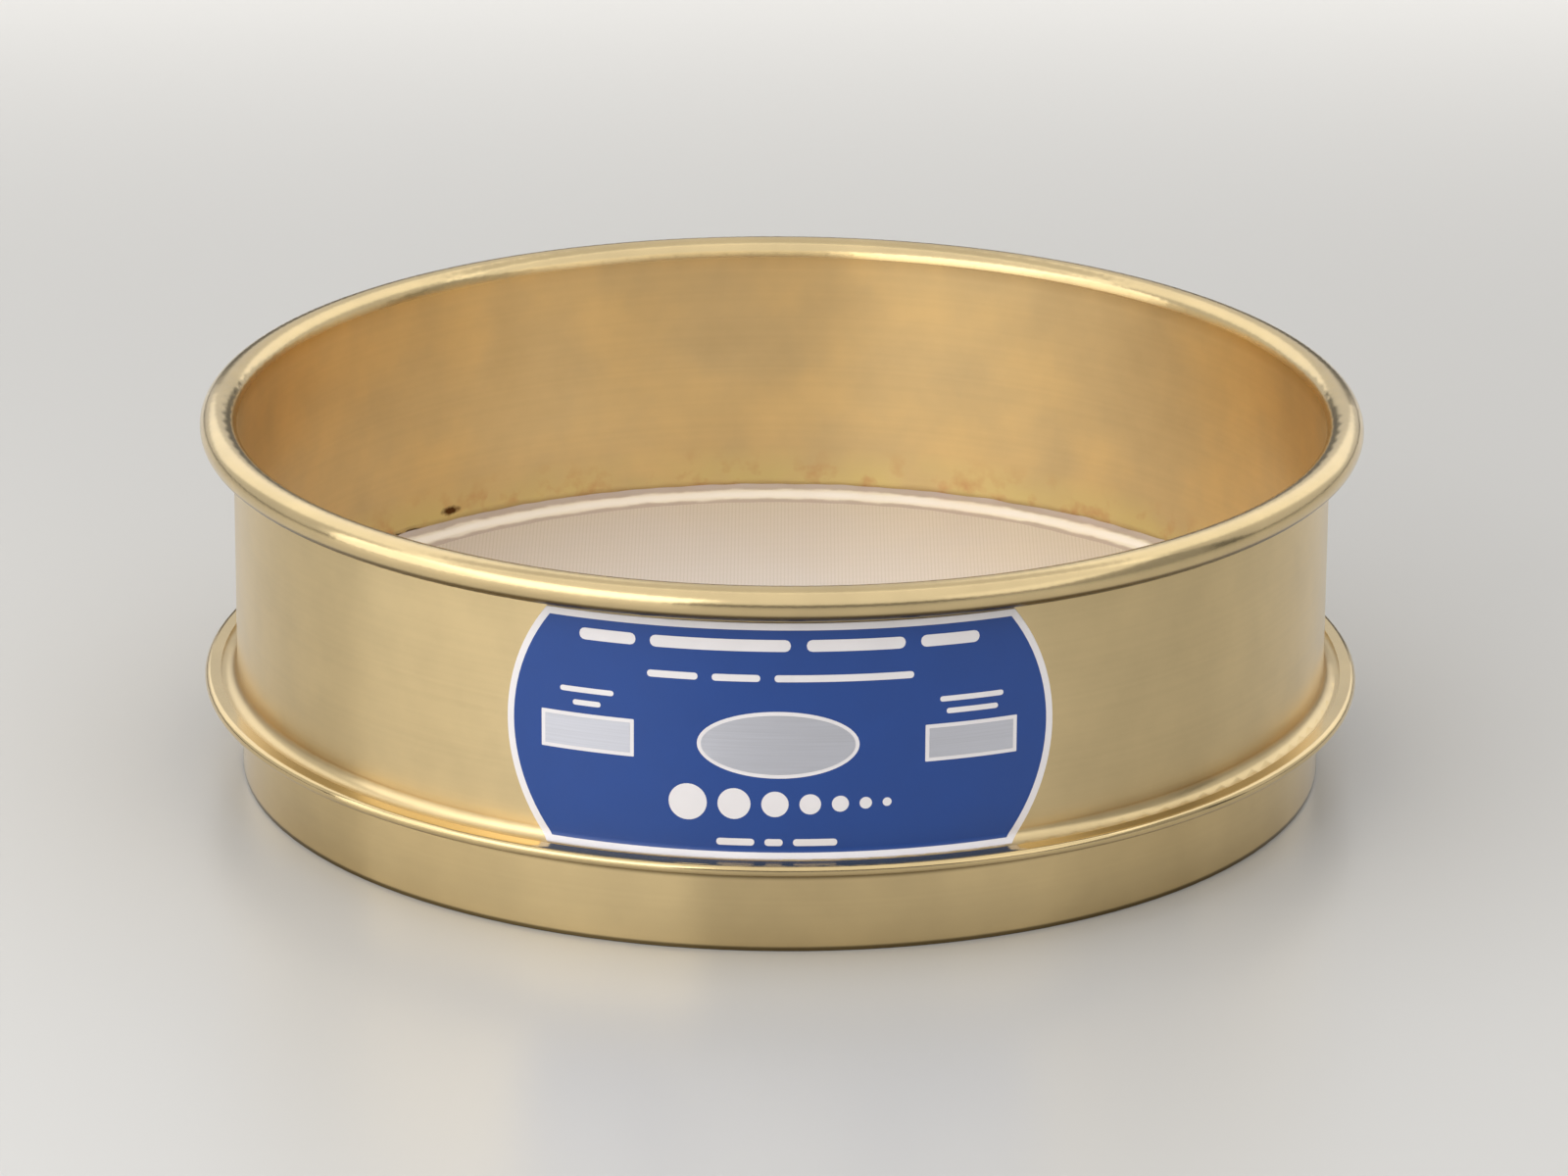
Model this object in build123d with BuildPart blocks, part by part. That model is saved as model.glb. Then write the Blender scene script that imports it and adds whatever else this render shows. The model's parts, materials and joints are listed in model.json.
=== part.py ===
"""Full-height 8 inch brass test sieve, in millimetres.

Two spun brass shells share one seam. The upper frame ends in a flat flange, the wire cloth lies
under that flange, and the skirt's own flange is hemmed round both, so that the cloth is clamped
all the way round. Solder fills the groove between the cloth and the frame's flare. A thin printed
nameplate is bonded to the front of the wall and follows the flare at its foot.

Origin: on the sieve's axis, at the foot of the skirt. +Z is up and the nameplate faces -Y.
Every section is drawn as (radius, height) and revolved about Z.
"""

import os
from math import acos, cos, degrees, radians, sin, sqrt

from build123d import *

# Driving dimensions
FRAME_INNER_RADIUS = 101.6  # 8 in frame
SHEET = 0.64  # 22 gauge brass
OVERALL_HEIGHT = 69.85  # 2 3/4 in, foot to rim
SEAM_HEIGHT = 17.2  # foot to the underside of the cloth
CLOTH_THICKNESS = 0.25  # two wires, where they cross

CURL_WIDTH = 6.8  # rolled rim, over the sheet's outer faces
CURL_HEIGHT = 6.2
CURL_TUCK = 0.1  # left between the curl's raw edge and the wall

FLARE_RADIUS = 2.2  # hollow side of the bend from wall to flange
FLANGE_FLAT = 0.875  # flange left bare between the flare and the hem's lip
HEM_LIP = 1.9  # flat part of the hem that lies back over the flange

NESTING_CLEARANCE = 0.2  # radial, between a skirt and the frame it drops into
SKIRT_BEND_RADIUS = 1.6  # hollow side of the bend from skirt to flange
FOOT_ROUND = 0.2  # eased edges of the skirt's foot

SOLDER_WIDTH = 6.35  # in from the wall, which leaves 7 1/2 in of clear cloth
SOLDER_TOE_HEIGHT = 0.5  # rounded inner edge
SOLDER_CREST_SETBACK = 2.2  # in from the wall, where the bead turns up towards it
SOLDER_CREST_HEIGHT = 0.8  # above the cloth
SOLDER_WALL_HEIGHT = 1.65  # above the cloth, where the solder meets the flare
SOLDER_REACH = 2.0  # how far it runs out under the flare, from the wall's inner face
SOLDER_SAG = 0.12  # hollow of its surface as it climbs to the wall

PLATE_THICKNESS = 0.3
PLATE_BOND = 0.05  # adhesive behind the plate
PLATE_TOP_GAP = 1.45  # bare wall between the plate and the underside of the curl
PLATE_WIDE_ARC = 100.4  # along the wall, over the bowed ends
PLATE_NARROW_ARC = 84.6  # along the wall, over the corners
PLATE_FOOT_ANGLE = 70.0  # how far round the flare the plate's foot reaches
PLATE_TRIM = 2.0  # degrees cut off each end of the rolled strip

# Frame wall and flare
cloth_top = SEAM_HEIGHT + CLOTH_THICKNESS
wall_outer_radius = FRAME_INNER_RADIUS + SHEET
flare_outer_round = FLARE_RADIUS + SHEET
flare_centre_radius = FRAME_INNER_RADIUS + flare_outer_round
flare_centre_height = cloth_top + flare_outer_round

# Seam, from the bottom up: skirt flange, cloth, frame flange, hem lip
flange_top = cloth_top + SHEET
hem_bottom = SEAM_HEIGHT - SHEET
hem_top = flange_top + SHEET
hem_outer_round = (hem_top - hem_bottom) / 2
hem_inner_round = hem_outer_round - SHEET
hem_middle = hem_bottom + hem_outer_round
hem_lip_radius = flare_centre_radius + FLANGE_FLAT
flange_edge_radius = hem_lip_radius + HEM_LIP
ledge_radius = flange_edge_radius + hem_outer_round

# Curl of the rim
curl_centre_radius = FRAME_INNER_RADIUS + CURL_WIDTH / 2
curl_centre_height = OVERALL_HEIGHT - CURL_HEIGHT / 2
curl_bottom = OVERALL_HEIGHT - CURL_HEIGHT
curl_edge_offset = curl_centre_radius - wall_outer_radius - CURL_TUCK
curl_sweep = 360 - degrees(acos(curl_edge_offset / (CURL_WIDTH / 2)))

# Skirt wall and bend
skirt_outer_radius = FRAME_INNER_RADIUS - NESTING_CLEARANCE
skirt_inner_radius = skirt_outer_radius - SHEET
skirt_bend_centre_radius = skirt_outer_radius + SKIRT_BEND_RADIUS
skirt_bend_centre_height = hem_bottom - SKIRT_BEND_RADIUS

os.makedirs("parts", exist_ok=True)


def flare_radius_at(height):
    """Radius of the flare's inner face at a height above the foot."""
    rise = flare_centre_height - height
    return flare_centre_radius - sqrt(flare_outer_round**2 - rise**2)


def flare_height_at(radius):
    """Height of the flare's inner face at a radius from the axis."""
    run = flare_centre_radius - radius
    return flare_centre_height - sqrt(flare_outer_round**2 - run**2)


# Upper frame: flange, flare, straight wall and the oval curl of the rim
with BuildPart() as upper_frame:
    with BuildSketch(Plane.XZ):
        with BuildLine():
            flange_under = Line(
                (flange_edge_radius, cloth_top), (flare_centre_radius, cloth_top)
            )
            CenterArc(
                (flare_centre_radius, flare_centre_height), flare_outer_round, 270, -90
            )
            Line(
                (FRAME_INNER_RADIUS, flare_centre_height),
                (FRAME_INNER_RADIUS, curl_centre_height),
            )
            curl_face = EllipticalCenterArc(
                (curl_centre_radius, curl_centre_height),
                CURL_WIDTH / 2,
                CURL_HEIGHT / 2,
                180,
                arc_size=-curl_sweep,
            )
            curl_back = EllipticalCenterArc(
                (curl_centre_radius, curl_centre_height),
                CURL_WIDTH / 2 - SHEET,
                CURL_HEIGHT / 2 - SHEET,
                180,
                arc_size=-curl_sweep,
            )
            Line(curl_face @ 1, curl_back @ 1)
            Line(
                (wall_outer_radius, curl_centre_height),
                (wall_outer_radius, flare_centre_height),
            )
            CenterArc(
                (flare_centre_radius, flare_centre_height), FLARE_RADIUS, 180, 90
            )
            flange_over = Line(
                (flare_centre_radius, flange_top), (flange_edge_radius, flange_top)
            )
            Line(flange_over @ 1, flange_under @ 0)
        make_face()
    revolve(axis=Axis.Z)
upper_frame.part.label = "upper_frame"

# Skirt: wall, bend, flange, and the hem folded back over the frame's flange
with BuildPart() as skirt:
    with BuildSketch(Plane.XZ):
        with BuildLine():
            Polyline(
                (skirt_inner_radius, skirt_bend_centre_height),
                (skirt_inner_radius, 0),
                (skirt_outer_radius, 0),
                (skirt_outer_radius, skirt_bend_centre_height),
            )
            CenterArc(
                (skirt_bend_centre_radius, skirt_bend_centre_height),
                SKIRT_BEND_RADIUS,
                180,
                -90,
            )
            Line((skirt_bend_centre_radius, hem_bottom), (flange_edge_radius, hem_bottom))
            CenterArc((flange_edge_radius, hem_middle), hem_outer_round, 270, 180)
            Polyline(
                (flange_edge_radius, hem_top),
                (hem_lip_radius, hem_top),
                (hem_lip_radius, flange_top),
                (flange_edge_radius, flange_top),
            )
            CenterArc((flange_edge_radius, hem_middle), hem_inner_round, 90, -180)
            Line(
                (flange_edge_radius, SEAM_HEIGHT), (skirt_bend_centre_radius, SEAM_HEIGHT)
            )
            CenterArc(
                (skirt_bend_centre_radius, skirt_bend_centre_height),
                SKIRT_BEND_RADIUS + SHEET,
                90,
                90,
            )
        make_face()
    revolve(axis=Axis.Z)
    fillet(skirt.edges().group_by(Axis.Z)[0], FOOT_ROUND)
skirt.part.label = "skirt"

# Sieve cloth: the woven disc's outer form, clamped between the two flanges
with BuildPart() as sieve_cloth:
    with BuildSketch(Plane.XY.offset(SEAM_HEIGHT)):
        Circle(flange_edge_radius)
    extrude(amount=CLOTH_THICKNESS)
sieve_cloth.part.label = "sieve_cloth"

# Solder ring: rounded toe on the cloth, low bead, and a hollow climb to the frame's flare
with BuildPart() as solder_ring:
    clear_radius = FRAME_INNER_RADIUS - SOLDER_WIDTH
    solder_outer_radius = FRAME_INNER_RADIUS + SOLDER_REACH
    toe_top = (clear_radius + SOLDER_TOE_HEIGHT, cloth_top + SOLDER_TOE_HEIGHT)
    crest = (FRAME_INNER_RADIUS - SOLDER_CREST_SETBACK, cloth_top + SOLDER_CREST_HEIGHT)
    wall_line_height = cloth_top + SOLDER_WALL_HEIGHT
    wall_line = (flare_radius_at(wall_line_height), wall_line_height)
    tip = (solder_outer_radius, flare_height_at(solder_outer_radius))
    flare_start_angle = degrees(
        acos((wall_line[0] - flare_centre_radius) / flare_outer_round)
    )
    flare_end_angle = degrees(acos((tip[0] - flare_centre_radius) / flare_outer_round))
    with BuildSketch(Plane.XZ):
        with BuildLine():
            CenterArc(
                (clear_radius + SOLDER_TOE_HEIGHT, cloth_top), SOLDER_TOE_HEIGHT, 180, -90
            )
            Line(toe_top, crest)
            SagittaArc(crest, wall_line, -SOLDER_SAG)
            CenterArc(
                (flare_centre_radius, flare_centre_height),
                flare_outer_round,
                360 - flare_start_angle,
                flare_start_angle - flare_end_angle,
            )
            Polyline(tip, (solder_outer_radius, cloth_top), (clear_radius, cloth_top))
        make_face()
    revolve(axis=Axis.Z)
solder_ring.part.label = "solder_ring"

# Nameplate: a strip rolled to the wall and the flare, its ends cut to shallow bows
with BuildPart() as nameplate:
    plate_back_radius = wall_outer_radius + PLATE_BOND
    plate_front_radius = plate_back_radius + PLATE_THICKNESS
    plate_top = curl_bottom - PLATE_TOP_GAP
    foot_back_round = FLARE_RADIUS - PLATE_BOND
    foot_front_round = foot_back_round - PLATE_THICKNESS
    # The strip is rolled a little wide of its bowed ends, then trimmed to them
    half_strip = degrees(PLATE_WIDE_ARC / wall_outer_radius / 2) + PLATE_TRIM
    start_angle = radians(-90 - half_strip)
    start_plane = Plane(
        origin=(0, 0, 0),
        x_dir=(cos(start_angle), sin(start_angle), 0),
        z_dir=(sin(start_angle), -cos(start_angle), 0),
    )
    with BuildSketch(start_plane):
        with BuildLine():
            Polyline(
                (plate_back_radius, flare_centre_height),
                (plate_back_radius, plate_top),
                (plate_front_radius, plate_top),
                (plate_front_radius, flare_centre_height),
            )
            foot_front = CenterArc(
                (flare_centre_radius, flare_centre_height),
                foot_front_round,
                180,
                PLATE_FOOT_ANGLE,
            )
            foot_back = CenterArc(
                (flare_centre_radius, flare_centre_height),
                foot_back_round,
                180,
                PLATE_FOOT_ANGLE,
            )
            Line(foot_front @ 1, foot_back @ 1)
        make_face()
    revolve(axis=Axis.Z, revolution_arc=2 * half_strip)
    half_wide = wall_outer_radius * sin(PLATE_WIDE_ARC / wall_outer_radius / 2)
    half_narrow = wall_outer_radius * sin(PLATE_NARROW_ARC / wall_outer_radius / 2)
    plate_foot = flare_centre_height - foot_back_round * sin(radians(PLATE_FOOT_ANGLE))
    plate_middle = (plate_top + plate_foot) / 2
    with BuildSketch(Plane.XZ):
        with BuildLine():
            right_end = ThreePointArc(
                (half_narrow, plate_foot), (half_wide, plate_middle), (half_narrow, plate_top)
            )
            left_end = ThreePointArc(
                (-half_narrow, plate_top),
                (-half_wide, plate_middle),
                (-half_narrow, plate_foot),
            )
            Line(right_end @ 1, left_end @ 0)
            Line(left_end @ 1, right_end @ 0)
        make_face()
    extrude(amount=ledge_radius, mode=Mode.INTERSECT)
nameplate.part.label = "nameplate"

for piece in (upper_frame, skirt, sieve_cloth, solder_ring, nameplate):
    export_step(piece.part, f"parts/{piece.part.label}.step")
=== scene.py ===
"""Looks for an 8 inch brass test sieve.

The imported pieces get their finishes, the solder ring is laid as a flowed bead, the nameplate gets
its enamelled print, and a plain studio is set up round them. Laid out as an add-on: each step is an
operator, listed in a panel of the 3D view's sidebar, and main() calls them in order.
"""

import json
import math

import bmesh
import bpy
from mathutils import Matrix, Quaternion, Vector, noise


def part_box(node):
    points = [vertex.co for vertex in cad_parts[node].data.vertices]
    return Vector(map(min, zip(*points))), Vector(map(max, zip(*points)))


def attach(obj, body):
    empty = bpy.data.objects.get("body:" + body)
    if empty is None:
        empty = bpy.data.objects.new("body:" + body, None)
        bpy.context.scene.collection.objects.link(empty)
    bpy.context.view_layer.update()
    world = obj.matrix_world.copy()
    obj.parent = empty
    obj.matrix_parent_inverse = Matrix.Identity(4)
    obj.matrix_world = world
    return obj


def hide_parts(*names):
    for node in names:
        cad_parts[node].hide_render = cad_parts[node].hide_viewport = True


bl_info = {
    "name": "Brass Test Sieve",
    "version": (1, 0, 0),
    "blender": (4, 5, 0),
    "location": "3D View > Sidebar > Sieve",
    "description": "Finishes, solder, nameplate print and studio for a brass test sieve",
    "category": "Object",
}

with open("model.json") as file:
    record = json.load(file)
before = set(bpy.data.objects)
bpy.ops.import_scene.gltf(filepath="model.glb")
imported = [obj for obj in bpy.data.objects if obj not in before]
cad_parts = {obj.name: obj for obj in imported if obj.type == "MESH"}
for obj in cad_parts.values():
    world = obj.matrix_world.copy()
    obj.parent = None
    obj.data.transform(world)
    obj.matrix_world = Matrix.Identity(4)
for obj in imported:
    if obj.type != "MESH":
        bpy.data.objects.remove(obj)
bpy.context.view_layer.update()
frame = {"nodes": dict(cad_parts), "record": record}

MM = 0.001
BODY = "root"

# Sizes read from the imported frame, in metres
BORE = next(m for m in frame["record"]["mounts"] if m["name"] == "frame_bore")
WALL_INNER_RADIUS = BORE["dims"]["r_mm"] * MM
RIM_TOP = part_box("upper_frame")[1].z
CLOTH_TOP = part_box("sieve_cloth")[1].z
PLATE_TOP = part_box("nameplate")[1].z

# Formed shapes of the spun sheet, as built
SHEET = 0.64 * MM
FLARE_ROUND = 2.2 * MM  # hollow side of the bend from wall to flange
FLARE_INNER_ROUND = FLARE_ROUND + SHEET
FLARE_CENTRE_RADIUS = WALL_INNER_RADIUS + FLARE_INNER_ROUND
FLARE_CENTRE_HEIGHT = CLOTH_TOP + FLARE_INNER_ROUND
WALL_OUTER_RADIUS = WALL_INNER_RADIUS + SHEET
NESTING_GAP = 0.2 * MM  # lets the skirt slip into the next sieve's frame
SKIRT_INNER_RADIUS = WALL_INNER_RADIUS - NESTING_GAP - SHEET
CURL_HEIGHT = 6.2 * MM
CURL_BOTTOM = RIM_TOP - CURL_HEIGHT
HEM_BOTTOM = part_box("sieve_cloth")[0].z - SHEET

# Solder bead: places across it, and heights above the cloth
BEAD_RADIUS = WALL_INNER_RADIUS - 3.3 * MM  # middle of the bright bead
BEAD_HALF_WIDTH = 1.2 * MM
TOE_RISE = 0.22 * MM  # the tinned edge over the wires
SHELF_RISE = 1.1 * MM  # top of the bright bead
CONTACT_RISE = 1.65 * MM  # where the solder ends on the wall
CONTACT_WANDER = 0.3 * MM
BACK_FOOT_RISE = 0.1 * MM  # where the hidden back leaves the flare
TOE_LUMP_SHARE = 0.3  # how much of the lump reaches the toe
SHELF_WAVER_SHARE = 0.5  # how much of the waver reaches the shelf
TOE_STEPS, BEAD_STEPS, SHELF_STEPS, BACK_STEPS = 4, 8, 6, 5

# How finely the bead wanders, in noise cells along one radius: coarse, fine, and the fine share
WAVER_NOISE = (9, 31, 0.5)
LUMP_NOISE = (14, 48, 0.6)
CONTACT_NOISE = 21
CONTACT_NOISE_PLACE = Vector((0, 0, 3))  # a part of the noise that the others don't pass

# Nameplate, as built
PLATE_STAND_OFF = 0.35 * MM  # adhesive and plate
PLATE_FRONT_RADIUS = WALL_OUTER_RADIUS + PLATE_STAND_OFF
PLATE_FOOT_ROUND = FLARE_ROUND - PLATE_STAND_OFF
PLATE_FOOT_ANGLE = math.radians(70)
PLATE_FOOT_HEIGHT = FLARE_CENTRE_HEIGHT - PLATE_FOOT_ROUND * math.sin(PLATE_FOOT_ANGLE)
PLATE_FOOT_ALONG = FLARE_CENTRE_HEIGHT - PLATE_FOOT_ROUND * PLATE_FOOT_ANGLE  # straightened out
PLATE_HALF_WIDE = 50.2 * MM  # along the wall, over the bowed ends
PLATE_HALF_NARROW = 42.3 * MM  # along the wall, over the corners

# Print, in millimetres: a place is (arc along the wall from the plate's middle, height)
WINDOWS = {
    "left": ((-34.55, 39.5), (17.3, 7.0)),
    "right": ((34.35, 38.85), (17.1, 6.9)),
}
WINDOW_LINE_CORNER, WINDOW_CORNER = 0.15, 0.1
OVAL_PLACE = (-0.3, 39.5)
OVAL_HALF_SIZE = (14.3, 6.25)
# Bars stand where words would be: a row's height, its bars' thickness, and each bar's two ends
BAR_ROWS = {
    "title": (58.05, 2.2, ((-35.9, -25.6), (-23.0, 1.8), (4.6, 22.0), (24.8, 35.5))),
    "subtitle": (51.95, 1.3, ((-23.5, -14.5), (-12.0, -3.5), (-1.0, 23.6))),
    "left_caption": (47.4, 1.0, ((-39.6, -29.6),)),
    "left_caption_low": (45.0, 1.0, ((-37.2, -32.0),)),
    "right_caption": (46.9, 1.0, ((28.4, 40.2),)),
    "right_caption_low": (44.6, 1.0, ((29.6, 39.2),)),
    "foot_line": (21.2, 1.3, ((-11.1, -4.4), (-2.6, 0.6), (2.4, 10.2))),
}
BAR_ROUNDING = 0.45  # corner radius, as a share of a bar's thickness
# A row of graded dots, coarse to fine, as the sieve grades grains
DOT_RADII = (3.4, 2.9, 2.4, 1.9, 1.5, 1.1, 0.8)
DOTS_LEFT, DOTS_HEIGHT, DOT_GAP = -19.6, 28.4, 1.9

# Mesh making
SHARP_ANGLE = math.radians(40)
CUT_SNAP = 0.01 * MM
FOLD_STEP = 0.25 * MM  # between the cuts that let print follow the plate's curved foot
FIELD_STEPS = 24
CORNER_STEP = 30  # degrees
OVAL_STEPS = 64
DOT_STEPS = 32

# Studio, in metres and degrees. A softbox is (azimuth from the front, elevation, width, height,
# and the setting that holds its level)
SOFTBOX_DISTANCE = 1.0
SOFTBOXES = {
    "left_softbox": (-55, 21, 1.5, 0.75, "left_level"),
    "left_shoulder": (-128, 30, 1.4, 1.0, "shoulder_level"),
    "right_softbox": (60, 17, 1.0, 0.6, "right_level"),
    "right_shoulder": (128, 30, 1.3, 1.0, "shoulder_level"),
    "top_softbox": (0, 55, 3.0, 1.7, "top_level"),
    "back_softbox": (180, 52, 2.2, 1.5, "back_level"),
}
STRIP_SIZE = (3.0, 0.5)
STRIP_SPREAD = 70
STRIP_PLACE = (0, 0.95, 0.8)
FLOOR_RADIUS = 6.0
FLOOR_STEPS = 96
ROOM_COLOUR = "#F4F5F7"

# Camera
SENSOR_WIDTH = 36.0  # in millimetres, as is the lens
LENS = 182.56
CAMERA_DISTANCE = 1506.6 * MM
CAMERA_ELEVATION = math.radians(20.541)
CAMERA_ROLL = math.radians(0.37)
CAMERA_AIM = Vector((0.59, 0, 32.73)) * MM


def linear(hex_colour):
    """An sRGB hex colour as linear red, green, blue and alpha."""
    channels = [int(hex_colour[i : i + 2], 16) / 255 for i in (1, 3, 5)]
    return (
        *[c / 12.92 if c <= 0.04045 else ((c + 0.055) / 1.055) ** 2.4 for c in channels],
        1.0,
    )


def colour_property(name, description, hex_colour):
    """A colour that a user may change, with its default given in sRGB."""
    return bpy.props.FloatVectorProperty(
        name=name,
        description=description,
        default=linear(hex_colour),
        size=4,
        min=0.0,
        max=1.0,
        subtype="COLOR",
    )


def length_property(name, description, millimetres):
    """A length that a user may change, with its default given in millimetres."""
    return bpy.props.FloatProperty(
        name=name, description=description, default=millimetres * MM, unit="LENGTH", precision=5
    )


def level_property(name, description, radiance):
    """The level of a light that a user may change, as its radiance."""
    return bpy.props.FloatProperty(name=name, description=description, default=radiance, min=0.0)


class SieveFinish(bpy.types.PropertyGroup):
    """Colours of the sieve's metals and enamels."""

    brass: colour_property("Brass", "Clean spun brass", "#D5BF92")
    # Lighter than the clean brass: inside, where it takes a larger share, it is also painted light
    brass_warm: colour_property("Handled Brass", "Brass where hands and heat warmed it", "#E8C686")
    straw_tint: colour_property("Straw Tint", "Brass coloured by heat beside the solder", "#DFCB8C")
    orange_tint: colour_property("Orange Tint", "Small hotter patches", "#CF9A6C")
    # Painted shade: this brown darkens the outer creases under the curl and the hem, and along the
    # foot
    crease_shade_brown: colour_property("Tarnish", "Brown brass in the creases", "#4A3C22")
    soot: colour_property("Burnt Flux", "Dark speck left by the torch", "#5A3A1C")
    skirt_brass: colour_property("Skirt Brass", "Brass polished for nesting", "#D3BC8D")
    # Painted highlight and painted shade: the crowns are painted lighter, the openings between wires
    # darker
    wire: colour_property("Wire", "Crowns of the woven wires", "#E6DDD8")
    wire_gap: colour_property("Wire Gap", "Between the woven wires", "#D9D0C6")
    # Painted highlight and painted shade: the bright colour on the bead's middle, the grey on its flat
    # sides
    solder: colour_property("Solder", "Bright tin solder", "#FFFAF4")
    solder_oxide_and_shade: colour_property("Dull Solder", "Oxide on the solder", "#B3A09A")
    enamel_white: colour_property("White Enamel", "Border and bars of the print", "#F1ECEC")
    enamel_blue: colour_property("Blue Enamel", "Field of the nameplate", "#1D458E")
    aluminium: colour_property("Aluminium", "Bare windows of the nameplate", "#D3D4DC")


class SievePrint(bpy.types.PropertyGroup):
    """Sizes of the nameplate's print."""

    border: length_property("Border", "White margin round the blue field", 1.3)
    outline: length_property("Outline", "White line round each window", 0.7)
    layer: length_property("Layer", "Thickness of one layer of enamel", 0.03)
    slice_width: length_property("Slice", "Widest flat strip of print on the round wall", 2.0)


class SieveSolder(bpy.types.PropertyGroup):
    """Sizes of the solder bead."""

    clear_radius: length_property("Clear Radius", "Mean inner edge, over the cloth", 95.25)
    waver: length_property("Waver", "How far the inner edge wanders", 0.35)
    lump: length_property("Lump", "How far the bead rises and falls", 0.14)
    segments: bpy.props.IntProperty(
        name="Segments", description="Steps round the bead", default=720, min=90
    )


class SieveStudio(bpy.types.PropertyGroup):
    """Levels of the studio's light, as the radiance of each source, and the floor's colour."""

    left_level: level_property("Left Box", "Radiance of the left softbox", 1.65)
    right_level: level_property("Right Box", "Radiance of the right softbox", 0.25)
    top_level: level_property("Top Box", "Radiance of the overhead softbox", 0.92)
    back_level: level_property("Back Box", "Radiance of the box over the back", 0.65)
    shoulder_level: level_property("Shoulders", "Radiance of the two boxes behind", 0.55)
    strip_level: level_property("Floor Strip", "Radiance of the far floor's strip", 2.5)
    room_level: level_property("Room", "Radiance of the room all round", 0.15)
    floor: colour_property("Floor", "Pale table top", "#CCCAC6")


# Materials. Each roughness pattern keeps to one side of 0.27, where the renderer's denoiser changes
# its method: a pattern that crosses it shows as dashed lines on the metal


def add_node(tree, kind, inputs=None, **settings):
    """Adds a node, with its settings, and with values or links on its inputs."""
    node = tree.nodes.new(kind)
    for name, value in settings.items():
        setattr(node, name, value)
    for name, value in (inputs or {}).items():
        if isinstance(value, bpy.types.NodeSocket):
            tree.links.new(value, node.inputs[name])
        else:
            node.inputs[name].default_value = value
    return node


# Sockets of the colour Mix node, whose names repeat
FACTOR, COLOUR_A, COLOUR_B, COLOUR_OUT = 0, 6, 7, 2


def new_material(name):
    """An empty material. Returns the material and its tree."""
    material = bpy.data.materials.new(name)
    material.use_nodes = True
    material.node_tree.nodes.clear()
    return material, material.node_tree


def axis_distance(tree, place):
    """How far a place is from the sieve's axis."""
    flat = add_node(
        tree, "ShaderNodeVectorMath", {0: place, 1: (1, 1, 0)}, operation="MULTIPLY"
    ).outputs["Vector"]
    distance = add_node(tree, "ShaderNodeVectorMath", {0: flat}, operation="LENGTH")
    return distance.outputs["Value"]


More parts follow.
